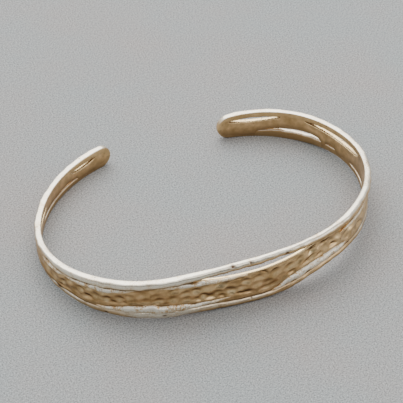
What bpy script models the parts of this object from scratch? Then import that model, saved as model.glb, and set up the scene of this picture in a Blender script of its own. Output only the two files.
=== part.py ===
"""Open cuff bracelet, cast in one piece: a hammered band between two edge wires, pierced by slits.

The cuff lies on its lower edge with its opening upright. Metres, +Z up. The front faces -Y, the gap
that the wrist goes through faces +Y, and the origin is under the middle of the cuff's box.
"""

import math
from collections import namedtuple

import bmesh
import bpy
import numpy as np

# Driving sizes
CUFF_WIDTH = 0.0623
TIP_GAP = 0.0208
FRONT_HEIGHT = 0.0097
RIM_WIRE = 0.00134
BASE_WIRE = 0.00126
BAND_THICKNESS = 0.00085
BAND_CROWN = 0.00010
SEAM_DEPTH = 0.00030
DIMPLE_PITCH = 0.0022
DIMPLE_DEPTH = 0.00020
SLIT_OPENING = 0.0020
FOOT_FILING = 0.00012

# Bends from the front outwards: radius as a share of the distance between the two sides, turn in
# degrees. The last bend of an arm turns until it reaches the gap.
Bend = namedtuple("Bend", "radius turn")
BENDS = {
    "left": (Bend(2.30, 5.8), Bend(0.319, 102.0), Bend(0.456, None)),
    "right": (Bend(0.602, 22.0), Bend(0.417, 52.5), Bend(0.313, None)),
}

# Sections along the strip: at runs from -1 at the left tip through 0 at the front to 1 at the right
# tip, height is a share of FRONT_HEIGHT, lift is how far the middle stands above the resting plane as
# such a share, rim and base are shares of the two wires' diameters, and hammer is the share of the
# dimples' and seams' depth.
Section = namedtuple("Section", "at height lift rim base hammer")
SECTIONS = (
    Section(-1.00, 0.46, 0.000, 0.90, 0.90, 0.0),
    Section(-0.93, 0.45, 0.000, 0.90, 0.90, 0.3),
    Section(-0.79, 0.44, 0.000, 0.92, 0.88, 0.5),
    Section(-0.63, 0.42, 0.000, 0.96, 0.85, 0.7),
    Section(-0.47, 0.59, 0.003, 1.02, 0.82, 1.0),
    Section(-0.37, 0.72, 0.004, 1.06, 0.92, 1.0),
    Section(-0.26, 0.79, 0.012, 1.06, 1.35, 1.0),
    Section(-0.13, 0.88, 0.005, 0.98, 1.08, 1.0),
    Section(0.00, 0.98, 0.000, 1.00, 0.96, 1.0),
    Section(0.06, 0.96, 0.010, 1.02, 1.02, 1.0),
    Section(0.11, 0.90, 0.025, 1.03, 1.10, 1.0),
    Section(0.17, 0.81, 0.060, 1.03, 1.20, 1.0),
    Section(0.25, 0.77, 0.068, 1.02, 1.05, 1.0),
    Section(0.33, 0.79, 0.045, 1.00, 0.85, 1.0),
    Section(0.41, 0.76, 0.018, 0.98, 0.80, 1.0),
    Section(0.49, 0.69, 0.000, 0.98, 0.78, 1.0),
    Section(0.65, 0.59, 0.000, 0.92, 0.82, 0.7),
    Section(0.82, 0.62, 0.000, 0.92, 0.92, 0.5),
    Section(0.93, 0.55, 0.000, 0.90, 0.90, 0.3),
    Section(1.00, 0.46, 0.000, 0.90, 0.90, 0.0),
)

# Places along the strip where its lower edge meets the table
CONTACTS = (-0.90, 0.0, 0.80)

# Slits where a wire parts from the band: start and end along the strip, opening as a share of
# SLIT_OPENING, and how far along the slit is widest.
Slit = namedtuple("Slit", "wire start end opening widest")
SLITS = (
    Slit("rim", -0.955, -0.865, 0.42, 0.5),
    Slit("rim", -0.730, -0.625, 0.32, 0.4),
    Slit("rim", -0.560, -0.430, 0.26, 0.6),
    Slit("rim", -0.385, -0.170, 0.30, 0.4),
    Slit("rim", -0.155, 0.176, 1.00, 0.47),
    Slit("rim", 0.188, 0.330, 0.27, 0.4),
    Slit("rim", 0.555, 0.775, 0.40, 0.4),
    Slit("rim", 0.830, 0.972, 0.46, 0.4),
    Slit("base", -0.895, -0.815, 0.42, 0.4),
    Slit("base", -0.800, -0.700, 0.36, 0.5),
    Slit("base", -0.480, -0.390, 0.24, 0.5),
    Slit("base", -0.365, -0.285, 0.28, 0.5),
    Slit("base", -0.130, -0.050, 0.24, 0.6),
    Slit("base", 0.045, 0.250, 0.30, 0.5),
    Slit("base", 0.265, 0.350, 0.24, 0.4),
    Slit("base", 0.490, 0.610, 0.40, 0.5),
    Slit("base", 0.675, 0.718, 0.30, 0.6),
    Slit("base", 0.730, 0.900, 0.66, 0.3),
)

# Fineness of the mesh
STEPS_PER_PITCH = 2
TIP_RINGS = 5
TIP_END_SHARE = 0.35
WIRE_SHARE = 0.22
SLIT_STEP = 0.0016
SLIT_END_SHARE = 0.10
SLIT_BITE = 0.15
CUTTER_MARGIN = 0.0012
BAND_ROWS = (0.0, 0.25, 0.5, 0.75, 1.0)
RIM_ANGLES = (180, 125, 90, 60, 30, 0, -30, -60)
BASE_ANGLES = (60, 30, 0, -30, -60, -90, -125, -180)
SMOOTH_ANGLE = 35

GOLD = (0.72, 0.55, 0.36, 1.0)
GOLD_ROUGHNESS = 0.34

Arc = namedtuple("Arc", "centre radius start end")


def clear_scene():
    for obj in list(bpy.data.objects):
        bpy.data.objects.remove(obj, do_unlink=True)


def gold_material():
    material = bpy.data.materials.new("satin_gold")
    material.use_nodes = True
    shader = material.node_tree.nodes["Principled BSDF"]
    shader.inputs["Base Color"].default_value = GOLD
    shader.inputs["Metallic"].default_value = 1.0
    shader.inputs["Roughness"].default_value = GOLD_ROUGHNESS
    material.diffuse_color = GOLD
    return material


def new_object(name, mesh_data, collection):
    obj = bpy.data.objects.new(name, mesh_data)
    collection.objects.link(obj)
    return obj


def new_collection(name):
    collection = bpy.data.collections.new(name)
    bpy.context.scene.collection.children.link(collection)
    return collection


def smooth_curve(table, column):
    """A smooth function of the place along the strip, through one column of a table."""
    at = np.array([row.at for row in table])
    value = np.array([getattr(row, column) for row in table])
    slope = np.gradient(value, at)

    def read(place):
        i = int(np.clip(np.searchsorted(at, place) - 1, 0, len(at) - 2))
        span = at[i + 1] - at[i]
        t = (np.clip(place, at[0], at[-1]) - at[i]) / span
        return (
            value[i] * (1 + 2 * t) * (1 - t) ** 2
            + value[i + 1] * t * t * (3 - 2 * t)
            + span * (slope[i] * t * (1 - t) ** 2 - slope[i + 1] * t * t * (1 - t))
        )

    return read


def half_width(bends):
    """How far out a side reaches, where its heading has turned a quarter, for radii as shares."""
    reach, heading = 0.0, 0.0
    for bend in bends:
        end = 90.0 if bend.turn is None else min(heading + bend.turn, 90.0)
        reach += bend.radius * (math.sin(math.radians(end)) - math.sin(math.radians(heading)))
        heading = end
    return reach


class Plan:
    """The bend line seen from above: one run of tangent arcs for each side, from the front."""

    def __init__(self):
        reach = {side: half_width(bends) for side, bends in BENDS.items()}
        self.unit = (CUFF_WIDTH - RIM_WIRE) / sum(reach.values())
        self.middle = (reach["right"] - reach["left"]) / 2 * self.unit
        self.arcs = {
            "left": self.side_arcs(BENDS["left"], TIP_GAP / 2 - self.middle),
            "right": self.side_arcs(BENDS["right"], TIP_GAP / 2 + self.middle),
        }
        self.length = {side: self.run(arcs) for side, arcs in self.arcs.items()}

    def side_arcs(self, bends, tip_x):
        arcs, heading, at = [], 0.0, np.zeros(2)
        for bend in bends:
            radius = bend.radius * self.unit
            centre = at + radius * np.array([-math.sin(heading), math.cos(heading)])
            if bend.turn is None:
                end = math.pi - math.asin((tip_x - centre[0]) / radius)
            else:
                end = heading + math.radians(bend.turn)
            arcs.append(Arc(centre, radius, heading, end))
            at = centre + radius * np.array([math.sin(end), -math.cos(end)])
            heading = end
        return arcs

    @staticmethod
    def run(arcs):
        return sum(arc.radius * (arc.end - arc.start) for arc in arcs)

    def at(self, place):
        """The point on the bend line and the outward direction, for a place from -1 to 1."""
        side = "left" if place < 0 else "right"
        sign = -1 if place < 0 else 1
        left_over = abs(place) * self.length[side]
        for arc in self.arcs[side]:
            span = arc.radius * (arc.end - arc.start)
            if left_over <= span or arc is self.arcs[side][-1]:
                heading = arc.start + left_over / arc.radius
                break
            left_over -= span
        outward = np.array([math.sin(heading), -math.cos(heading)])
        point = arc.centre + arc.radius * outward
        mirror = np.array([sign, 1])
        return point * mirror, outward * mirror


class Strip:
    """The flat strip's sizes along its length, and where its lower edge lies above the table."""

    def __init__(self, plan):
        self.plan = plan
        self.total = plan.length["left"] + plan.length["right"]
        self.curves = {name: smooth_curve(SECTIONS, name) for name in Section._fields[1:]}
        self.tilt = self.resting_plane()

    def height(self, place):
        return FRONT_HEIGHT * self.curves["height"](place)

    def lift(self, place):
        return FRONT_HEIGHT * self.curves["lift"](place)

    def resting_plane(self):
        """The plane of the strip's middle that sets its lower edge on the table at three places."""
        rows, middles = [], []
        for place in CONTACTS:
            x, y = self.plan.at(place)[0]
            rows.append((1.0, x, y))
            middles.append(self.height(place) / 2 - self.lift(place))
        return np.linalg.solve(np.array(rows), np.array(middles))

    def middle(self, place):
        x, y = self.plan.at(place)[0]
        return self.tilt @ (1.0, x, y) + self.lift(place)

    def tip_rounding(self, place):
        """The share of the height that the round tip leaves, 1 away from the tips."""
        side = "left" if place < 0 else "right"
        radius = self.height(math.copysign(1.0, place)) / 2
        to_end = (1 - abs(place)) * self.plan.length[side]
        if to_end >= radius:
            return 1.0
        return max(math.sqrt(1 - (1 - to_end / radius) ** 2), TIP_END_SHARE)

    def edges(self, place):
        half = self.height(place) * self.tip_rounding(place) / 2
        middle = self.middle(place)
        return middle - half, middle + half

    def wires(self, place):
        """Radii of the rim and base wires, which leave some band between them in a narrow tip."""
        low, high = self.edges(place)
        most = (high - low) * WIRE_SHARE
        rim = min(RIM_WIRE / 2 * self.curves["rim"](place), most)
        base = min(BASE_WIRE / 2 * self.curves["base"](place), most)
        return rim, base

    def places(self):
        """Stations along the strip, half a dimple apart, and closer round the tips."""
        found = []
        step = DIMPLE_PITCH / STEPS_PER_PITCH
        for side, sign in (("left", -1), ("right", 1)):
            length = self.plan.length[side]
            radius = self.height(sign) / 2
            straight = length - radius
            count = round(straight / step)
            ends = [1 - math.cos(math.pi / 2 * k / TIP_RINGS) for k in range(TIP_RINGS)]
            found += [sign * (length - radius * end) / length for end in ends]
            found += [sign * straight * k / count / length for k in range(1, count + 1)]
        return sorted(found + [0.0])


def dimple(strip, place, row):
    """How deep the hammer left the band at a row: two staggered rows of dimples along it."""
    along = place * strip.plan.length["left" if place < 0 else "right"]
    phase = 0.5 if row < 0.5 else 0.0
    wave = 0.5 - 0.5 * math.cos(2 * math.pi * (along / DIMPLE_PITCH + phase))
    across = math.sin(2 * math.pi * row) ** 2
    return DIMPLE_DEPTH * wave * across * strip.curves["hammer"](place)


def section(strip, place):
    """The metal's outline at a place, as (outward, height) points round it."""
    low, high = strip.edges(place)
    rim, base = strip.wires(place)
    hammer = strip.curves["hammer"](place)
    inside = -RIM_WIRE / 2
    top, bottom = high - 2 * rim, low + 2 * base
    thickness = min(BAND_THICKNESS, 2 * rim, 2 * base)
    seam = inside + thickness - SEAM_DEPTH * hammer
    points = [on_wire(inside + rim, high - rim, rim, angle) for angle in RIM_ANGLES]
    points.append((seam, top))
    for row in BAND_ROWS:
        margin = 0.06 + 0.88 * row
        crown = BAND_CROWN * math.sin(math.pi * margin)
        face = inside + thickness + crown - dimple(strip, place, row)
        points.append((face, top + (bottom - top) * margin))
    points.append((seam, bottom))
    points += [on_wire(inside + base, low + base, base, angle) for angle in BASE_ANGLES]
    return points


def on_wire(centre_out, centre_up, radius, angle):
    turn = math.radians(angle)
    return centre_out + radius * math.cos(turn), centre_up + radius * math.sin(turn)


def placed(strip, place, outline):
    """The outline's points in space, standing upright on the bend line."""
    point, outward = strip.plan.at(place)
    return [(*(point + outward * out), up) for out, up in outline]


def loft(name, rings):
    """A closed solid through rings of equally many points."""
    bm = bmesh.new()
    loops = [[bm.verts.new(point) for point in ring] for ring in rings]
    for first, second in zip(loops, loops[1:]):
        for i, corner in enumerate(first):
            following = (i + 1) % len(first)
            bm.faces.new((corner, first[following], second[following], second[i]))
    bm.faces.new(loops[0][::-1])
    bm.faces.new(loops[-1])
    bmesh.ops.recalc_face_normals(bm, faces=bm.faces)
    bmesh.ops.triangulate(bm, faces=bm.faces)
    mesh_data = bpy.data.meshes.new(name)
    bm.to_mesh(mesh_data)
    bm.free()
    return mesh_data


def slit_rings(strip, slit):
    """Upright rectangles along a slit, wide in its middle and narrow at its ends."""
    span = abs(slit.end - slit.start) * strip.total / 2
    steps = max(round(span / SLIT_STEP), 4)
    rings = []
    for k in range(steps + 1):
        t = k / steps
        place = slit.start + (slit.end - slit.start) * t
        low, high = strip.edges(place)
        rim, base = strip.wires(place)
        swell = math.sin(math.pi * t ** (math.log(0.5) / math.log(slit.widest)))
        opening = SLIT_OPENING * slit.opening * max(swell, SLIT_END_SHARE)
        if slit.wire == "rim":
            top = high - 2 * rim * (1 - SLIT_BITE)
            bottom = top - opening
        else:
            bottom = low + 2 * base * (1 - SLIT_BITE)
            top = bottom + opening
        inner, outer = -RIM_WIRE / 2 - CUTTER_MARGIN, RIM_WIRE / 2 + CUTTER_MARGIN
        corners = [(inner, bottom), (outer, bottom), (outer, top), (inner, top)]
        rings.append(placed(strip, place, corners))
    return rings


def make_cutters(strip, collection):
    """One cutter object for each slit."""
    for number, slit in enumerate(SLITS, 1):
        cutter = new_object(f"slit_{number}", loft(f"slit_{number}", slit_rings(strip, slit)), collection)
        cutter.display_type = "WIRE"
        cutter.hide_render = True


def file_feet(mesh_data):
    """Files the lowest metal flat, where the cuff rests, and sets the origin under its box."""
    bm = bmesh.new()
    bm.from_mesh(mesh_data)
    level = min(vert.co.z for vert in bm.verts) + FOOT_FILING
    geometry = bm.verts[:] + bm.edges[:] + bm.faces[:]
    bmesh.ops.bisect_plane(
        bm, geom=geometry, plane_co=(0, 0, level), plane_no=(0, 0, -1), clear_outer=True
    )
    rim = [edge for edge in bm.edges if edge.is_boundary]
    bmesh.ops.holes_fill(bm, edges=rim)
    points = np.array([vert.co for vert in bm.verts])
    low, high = points.min(axis=0), points.max(axis=0)
    shift = (-(low[0] + high[0]) / 2, -(low[1] + high[1]) / 2, -level)
    bm.to_mesh(mesh_data)
    bm.free()
    return shift


def build_cuff():
    strip = Strip(Plan())
    shown = new_collection("cuff_bracelet")
    cutters = new_collection("cutters")
    rings = [placed(strip, place, section(strip, place)) for place in strip.places()]
    mesh_data = loft("cuff", rings)
    shift = file_feet(mesh_data)
    cuff = new_object("cuff", mesh_data, shown)
    cuff.data.materials.append(gold_material())
    make_cutters(strip, cutters)
    for obj in [cuff, *cutters.objects]:
        obj.location = shift
    pierce = cuff.modifiers.new("pierce", "BOOLEAN")
    pierce.operation = "DIFFERENCE"
    pierce.operand_type = "COLLECTION"
    pierce.collection = cutters
    pierce.solver = "EXACT"
    mesh_data.shade_smooth()
    mesh_data.set_sharp_from_angle(angle=math.radians(SMOOTH_ANGLE))


clear_scene()
build_cuff()
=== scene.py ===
"""Open cuff bracelet in worn satin gold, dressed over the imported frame.

The metal is modelled flat, as the strip that it is bent from, and then bent round the wrist's oval.
A loop of wire runs round the strip's edge, a hammered band fills it, and a few raised wires lie on
the band. Flat space: x runs from the left tip, -y faces outwards, z is the height above the table.
In the tables, a distance from the front is in mm and negative on the left.
"""

import logging
import math
from dataclasses import dataclass, field
from enum import Enum, IntEnum

import bpy
import numpy as np
from mathutils import Matrix, Vector

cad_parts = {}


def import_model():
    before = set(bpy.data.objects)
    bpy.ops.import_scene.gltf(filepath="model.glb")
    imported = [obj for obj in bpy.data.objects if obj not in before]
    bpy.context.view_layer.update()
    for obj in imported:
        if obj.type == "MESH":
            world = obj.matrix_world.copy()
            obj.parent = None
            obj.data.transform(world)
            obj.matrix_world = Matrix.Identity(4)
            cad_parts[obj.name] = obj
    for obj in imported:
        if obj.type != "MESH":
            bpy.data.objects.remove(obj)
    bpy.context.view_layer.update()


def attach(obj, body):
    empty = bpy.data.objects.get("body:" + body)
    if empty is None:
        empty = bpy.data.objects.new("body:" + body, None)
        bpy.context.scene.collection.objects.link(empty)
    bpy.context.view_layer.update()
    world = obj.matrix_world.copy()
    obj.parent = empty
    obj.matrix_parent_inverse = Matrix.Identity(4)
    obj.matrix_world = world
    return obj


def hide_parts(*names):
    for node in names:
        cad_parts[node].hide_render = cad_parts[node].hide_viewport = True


log = logging.getLogger("cuff_bracelet")

MM = 0.001
WELD = 0.001 * MM
FULL = 0.99  # a share beyond this counts as the whole

Pair = tuple[float, float]
Triple = tuple[float, float, float]
Rows = tuple[tuple[float, ...], ...]
Array = np.ndarray
Socket = bpy.types.NodeSocket


class Side(Enum):
    """The two arms of the cuff, as the sign of their place along the strip."""

    LEFT = -1
    RIGHT = 1


class Edge(Enum):
    """The two long edges of the strip."""

    RIM = "rim"
    BASE = "base"


class Column(IntEnum):
    """The columns of the strip's table: shares of its height and of its wires' radii."""

    HEIGHT = 1
    LIFT = 2
    RIM = 3
    BASE = 4


@dataclass(frozen=True)
class Bend:
    """One bend of an arm: radius as a share of the width, turn in degrees or on to the gap."""

    radius: float
    turn: float | None


@dataclass(frozen=True)
class Slit:
    """A slit beside a wire: its edge, ends, opening and widest place, and if it is tarnished."""

    edge: Edge
    start: float
    end: float
    opening: float
    widest: float
    dark: bool = False


@dataclass(frozen=True)
class Pit:
    """A casting pit: distance from the front and height in mm, radius, depth and stretch."""

    along: float
    up: float
    radius: float
    depth: float
    stretch: float = 1.0


@dataclass(frozen=True)
class Run:
    """The run of a raised wire, as rows of distance from the front, height and radius in mm."""

    name: str
    rows: Rows
    proud: float = 0.08
    creased: bool = False


def smooth(rows: Rows, x: Array, column: int = 1) -> Array:
    """Reads a smooth curve through a column of a table.

    Args:
        rows: The table. Its first column rises.
        x: Where to read.
        column: The column to read.

    Returns:
        The values at x, held level past the table's ends.
    """
    table = np.array(rows)
    at, value = table[:, 0], table[:, column]
    slope = np.gradient(value, at)
    x = np.clip(x, at[0], at[-1])
    i = np.clip(np.searchsorted(at, x) - 1, 0, len(at) - 2)
    span = at[i + 1] - at[i]
    t = (x - at[i]) / span
    return (
        value[i] * (1 + 2 * t) * (1 - t) ** 2
        + value[i + 1] * t * t * (3 - 2 * t)
        + span * (slope[i] * t * (1 - t) ** 2 - slope[i + 1] * t * t * (1 - t))
    )


def straight(rows: Rows, x: Array, column: int = 1) -> Array:
    """Reads a column of a table at x, in straight lines between its rows."""
    table = np.array(rows)
    return np.interp(x, table[:, 0], table[:, column])


@dataclass(frozen=True)
class Ramp:
    """A smooth rise from a least value at low to an amount at high."""

    low: float
    high: float
    amount: float = 1.0
    least: float = 0.0

    def __call__(self, x: Array) -> Array:
        """Reads the ramp at x."""
        t = np.clip((x - self.low) / (self.high - self.low), 0, 1)
        return self.least + (self.amount - self.least) * t * t * (3 - 2 * t)


@dataclass(frozen=True)
class Ripple:
    """A few sine waves of one size, each given as its length and its phase."""

    size: float
    waves: Rows

    def __call__(self, x: Array) -> Array:
        """Adds up the waves at x, to about the size."""
        total = sum(np.sin(2 * math.pi * x / length + phase) for length, phase in self.waves)
        return self.size * total / len(self.waves)


def waver(turn: Array, along: Array, lobes: Rows) -> Array:
    """Adds up lobes round a wire, each given as its size, its count and its twist a mm."""
    return sum(size * np.sin(count * turn + twist * along) for size, count, twist in lobes)


@dataclass
class BendLine:
    """The line that the strip is bent along, seen from above."""

    width: float = 62.3 * MM
    gap: float = 20.8 * MM
    rim_wire: float = 1.34 * MM
    origin: Pair = (1.14 * MM, -21.97 * MM)
    bends: dict[Side, tuple[Bend, ...]] = field(
        default_factory=lambda: {
            Side.LEFT: (Bend(2.3, 5.8), Bend(0.319, 102.0), Bend(0.456, None)),
            Side.RIGHT: (Bend(0.602, 22.0), Bend(0.417, 52.5), Bend(0.313, None)),
        }
    )

    def __post_init__(self) -> None:
        """Works out the arcs of both arms and their lengths."""
        reach = {side: self.reach(bends) for side, bends in self.bends.items()}
        self.unit = (self.width - self.rim_wire) / sum(reach.values())
        middle = (reach[Side.RIGHT] - reach[Side.LEFT]) / 2 * self.unit
        self.arcs, self.length = {}, {}
        for side in Side:
            arcs = self.arm(side, self.gap / 2 + side.value * middle)
            self.arcs[side] = arcs
            self.length[side] = sum(radius * (end - start) for _, radius, start, end in arcs)
        self.total = sum(self.length.values())

    @staticmethod
    def reach(bends: tuple[Bend, ...]) -> float:
        """How far out an arm reaches, in shares of the width."""
        out, heading = 0.0, 0.0
        for bend in bends:
            end = 90.0 if bend.turn is None else min(heading + bend.turn, 90.0)
            out += bend.radius * (math.sin(math.radians(end)) - math.sin(math.radians(heading)))
            heading = end
        return out

    def arm(self, side: Side, tip_x: float) -> list[tuple[Array, float, float, float]]:
        """The arcs of one arm, as centre, radius, and headings at its start and end."""
        arcs, heading, at = [], 0.0, np.zeros(2)
        for bend in self.bends[side]:
            radius = bend.radius * self.unit
            centre = at + radius * np.array([-math.sin(heading), math.cos(heading)])
            if bend.turn is None:
                end = math.pi - math.asin((tip_x - centre[0]) / radius)
            else:
                end = heading + math.radians(bend.turn)
            arcs.append((centre, radius, heading, end))
            at = centre + radius * np.array([math.sin(end), -math.cos(end)])
            heading = end
        return arcs

    def place(self, x: Array) -> Array:
        """The place, -1 at the left tip and 1 at the right, for distances from the left tip."""
        along = x - self.length[Side.LEFT]
        return np.where(along < 0, along / self.length[Side.LEFT], along / self.length[Side.RIGHT])

    def points(self, x: Array) -> Array:
        """Points of the line on the table, for distances from the left tip."""
        found = np.zeros((len(x), 2))
        for i, along in enumerate(x - self.length[Side.LEFT]):
            side = Side.LEFT if along < 0 else Side.RIGHT
            left_over = abs(along)
            for centre, radius, start, end in self.arcs[side]:
                span = radius * (end - start)
                if left_over <= span or end == self.arcs[side][-1][3]:
                    heading = start + left_over / radius
                    break
                left_over -= span
            at = centre + radius * np.array([math.sin(heading), -math.cos(heading)])
            found[i] = (side.value * at[0], at[1])
        return found + np.array(self.origin)


@dataclass
class Strip:
    """The flat strip: its edges' heights and its wires' radii along its length.

    The table's rows start with a place, -1 at the left tip and 1 at the right, and Column says what
    follows. Slits start and end at such places too.
    """

    line: BendLine
    height: float = 9.7 * MM
    rim_wire: float = 1.34 * MM
    base_wire: float = 1.26 * MM
    sink: float = 0.02 * MM
    slit_opening: float = 2.0 * MM
    dark_opening: float = 0.6
    wide_from: float = 0.9
    dark_bluntness: float = 1.2
    wide_bluntness: float = 0.8
    bluntness: float = 0.55
    contacts: Triple = (-0.9, 0.0, 0.8)
    table: Rows = (
        (-1.0, 0.46, 0.0, 0.9, 0.9), (-0.93, 0.45, 0.0, 0.9, 0.9), (-0.79, 0.44, 0.0, 0.86, 0.86),
        (-0.63, 0.42, 0.0, 0.87, 0.78), (-0.47, 0.59, 0.003, 0.92, 0.72),
        (-0.37, 0.72, 0.004, 1.02, 0.82), (-0.26, 0.79, 0.012, 1.06, 1.1),
        (-0.13, 0.88, 0.005, 0.98, 1.08), (0.0, 0.98, 0.0, 1.0, 0.96),
        (0.06, 0.96, 0.01, 0.94, 1.02), (0.11, 0.9, 0.025, 0.92, 1.0),
        (0.17, 0.81, 0.06, 0.96, 0.95), (0.25, 0.77, 0.068, 1.02, 0.9),
        (0.33, 0.79, 0.045, 1.0, 0.85), (0.41, 0.76, 0.018, 0.98, 0.8),
        (0.49, 0.69, 0.0, 0.9, 0.78), (0.65, 0.59, 0.0, 0.86, 0.82), (0.82, 0.62, 0.0, 0.86, 0.92),
        (0.93, 0.55, 0.0, 0.9, 0.9), (1.0, 0.46, 0.0, 0.9, 0.9),
    )
    slits: tuple[Slit, ...] = (
        Slit(Edge.RIM, -0.955, -0.865, 0.42, 0.5),
        Slit(Edge.RIM, -0.73, -0.625, 0.32, 0.4),
        Slit(Edge.RIM, -0.56, -0.43, 0.26, 0.6, dark=True),
        Slit(Edge.RIM, -0.385, -0.17, 0.3, 0.4, dark=True),
        Slit(Edge.RIM, -0.155, 0.176, 1.0, 0.47),
        Slit(Edge.RIM, 0.188, 0.33, 0.27, 0.4, dark=True),
        Slit(Edge.RIM, 0.56, 0.775, 0.62, 0.3),
        Slit(Edge.RIM, 0.83, 0.975, 0.54, 0.5),
        Slit(Edge.BASE, -0.895, -0.79, 0.34, 0.5),
        Slit(Edge.BASE, -0.83, -0.69, 0.34, 0.5),
        Slit(Edge.BASE, -0.48, -0.39, 0.24, 0.5, dark=True),
        Slit(Edge.BASE, -0.365, -0.285, 0.28, 0.5, dark=True),
        Slit(Edge.BASE, -0.13, -0.05, 0.2, 0.6, dark=True),
        Slit(Edge.BASE, 0.08, 0.25, 0.2, 0.5, dark=True),
        Slit(Edge.BASE, 0.265, 0.35, 0.24, 0.4, dark=True),
        Slit(Edge.BASE, 0.49, 0.61, 0.4, 0.5),
        Slit(Edge.BASE, 0.662, 0.706, 0.36, 0.6),
        Slit(Edge.BASE, 0.716, 0.9, 0.8, 0.33),
    )

    def __post_init__(self) -> None:
        """Sets the strip's lower edge down on the table at its three contacts."""
        rows, middles = [], []
        for place in self.contacts:
            side = Side.LEFT if place < 0 else Side.RIGHT
            x = np.array([self.line.length[Side.LEFT] + place * self.line.length[side]])
            rows.append((1.0, *self.line.points(x)[0]))
            middle = self.read(x, Column.HEIGHT)[0] / 2 - self.read(x, Column.LIFT)[0]
            middles.append(float(middle) * self.height)
        self.tilt = np.linalg.solve(np.array(rows), np.array(middles))

    def read(self, x: Array, column: Column) -> Array:
        """Reads one column of the table at distances from the left tip."""
        return smooth(self.table, self.line.place(x), column)

    def tip(self, side: Side) -> float:
        """The radius of a tip's rounding."""
        end = self.table[0] if side is Side.LEFT else self.table[-1]
        return end[Column.HEIGHT] * self.height / 2

    def middle(self, x: Array) -> Array:
        """The height of the strip's middle above the table."""
        flat = np.column_stack([np.ones(len(x)), self.line.points(x)]) @ self.tilt
        return flat + self.height * self.read(x, Column.LIFT) - self.sink

    def edges(self, x: Array) -> tuple[Array, Array]:
        """The heights of the lower and upper edge, tips rounded."""
        half = self.height * self.read(x, Column.HEIGHT) / 2
        for side, to_end in ((Side.LEFT, x), (Side.RIGHT, self.line.total - x)):
            share = np.clip(to_end / self.tip(side), 0.0, 1.0)
            half = half * np.sqrt(np.maximum(1 - (1 - share) ** 2, 0.0))
        middle = self.middle(x)
        return middle - half, middle + half

    def radius(self, x: Array, edge: Edge) -> Array:
        """The radius of an edge's wire."""
        if edge is Edge.RIM:
            return self.rim_wire / 2 * self.read(x, Column.RIM)
        return self.base_wire / 2 * self.read(x, Column.BASE)

    def slit(self, x: Array, edge: Edge, dark: bool | None = None) -> Array:
        """How far the band stands off an edge's wire, where slits part them.

        Args:
            x: Distances from the left tip.
            edge: The edge whose slits are read.
            dark: Whether to read only the tarnished slits, only the clean ones, or all.

        Returns:
            The openings.
        """
        place = self.line.place(x)
        opening = np.zeros(len(x))
        for slit in self.slits:
            if slit.edge is not edge or dark not in (None, slit.dark):
                continue
            if slit.dark:
                share, bluntness = self.dark_opening, self.dark_bluntness
            else:
                wide = slit.opening > self.wide_from
                share, bluntness = 1.0, self.wide_bluntness if wide else self.bluntness
            t = np.clip((place - slit.start) / (slit.end - slit.start), 0, 1)
            swell = np.sin(math.pi * t ** (math.log(0.5) / math.log(slit.widest)))
            widest = self.slit_opening * slit.opening * share
            opening = np.maximum(opening, widest * np.maximum(swell, 0) ** bluntness)
        return opening

    def from_front(self, x: Array) -> Array:
        """Distance from the front in mm, negative on the left."""
        return (x - self.line.length[Side.LEFT]) / MM


def pick(piece: bpy.types.Object) -> None:
    """Selects one piece and makes it the active one."""
    bpy.ops.object.select_all(action="DESELECT")
    piece.select_set(True)
    bpy.context.view_layer.objects.active = piece


class Sheet:
    """A grid of faces that is rolled up into a closed piece of metal."""

    def __init__(self, name: str, along: int, around: int) -> None:
        """Adds the flat grid.

        Args:
            name: The piece's name.
            along: Faces along the piece.
            around: Faces round the piece.
        """
        bpy.ops.mesh.primitive_grid_add(x_subdivisions=along, y_subdivisions=around, size=1.0)
        self.piece = bpy.context.object
        self.piece.name = self.piece.data.name = name
        flat = np.empty(len(self.piece.data.vertices) * 3)
        self.piece.data.vertices.foreach_get("co", flat)
        flat = flat.reshape(-1, 3)
        self.ring = np.rint((flat[:, 0] + 0.5) * along).astype(int)
        self.around = np.rint((flat[:, 1] + 0.5) * around).astype(int)

    def turn(self, sides: int) -> Array:
        """Each corner's angle round a wire of so many sides."""
        return 2 * math.pi * (self.around % sides) / sides

    def shape(self, points: Array, masks: dict[str, Array]) -> None:
        """Moves the grid's corners to their places and writes its masks."""
        mesh = self.piece.data
        mesh.vertices.foreach_set("co", np.ascontiguousarray(points, dtype=np.float32).ravel())
        for name, values in masks.items():
            mask = mesh.attributes.new(name, "FLOAT", "POINT")
            mask.data.foreach_set("value", np.clip(values, 0, 1).astype(np.float32))
        mesh.update()

    def close(self) -> bpy.types.Object:
        """Welds the rolled edges, fills the ends, and turns the faces outwards."""
        pick(self.piece)
        bpy.ops.object.mode_set(mode="EDIT")
        bpy.ops.mesh.select_all(action="SELECT")
        bpy.ops.mesh.remove_doubles(threshold=WELD)
        bpy.ops.mesh.fill_holes(sides=0)
        bpy.ops.mesh.select_all(action="SELECT")
        bpy.ops.mesh.normals_make_consistent(inside=False)
        bpy.ops.object.mode_set(mode="OBJECT")
        bpy.ops.object.shade_smooth()
        return self.piece


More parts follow.
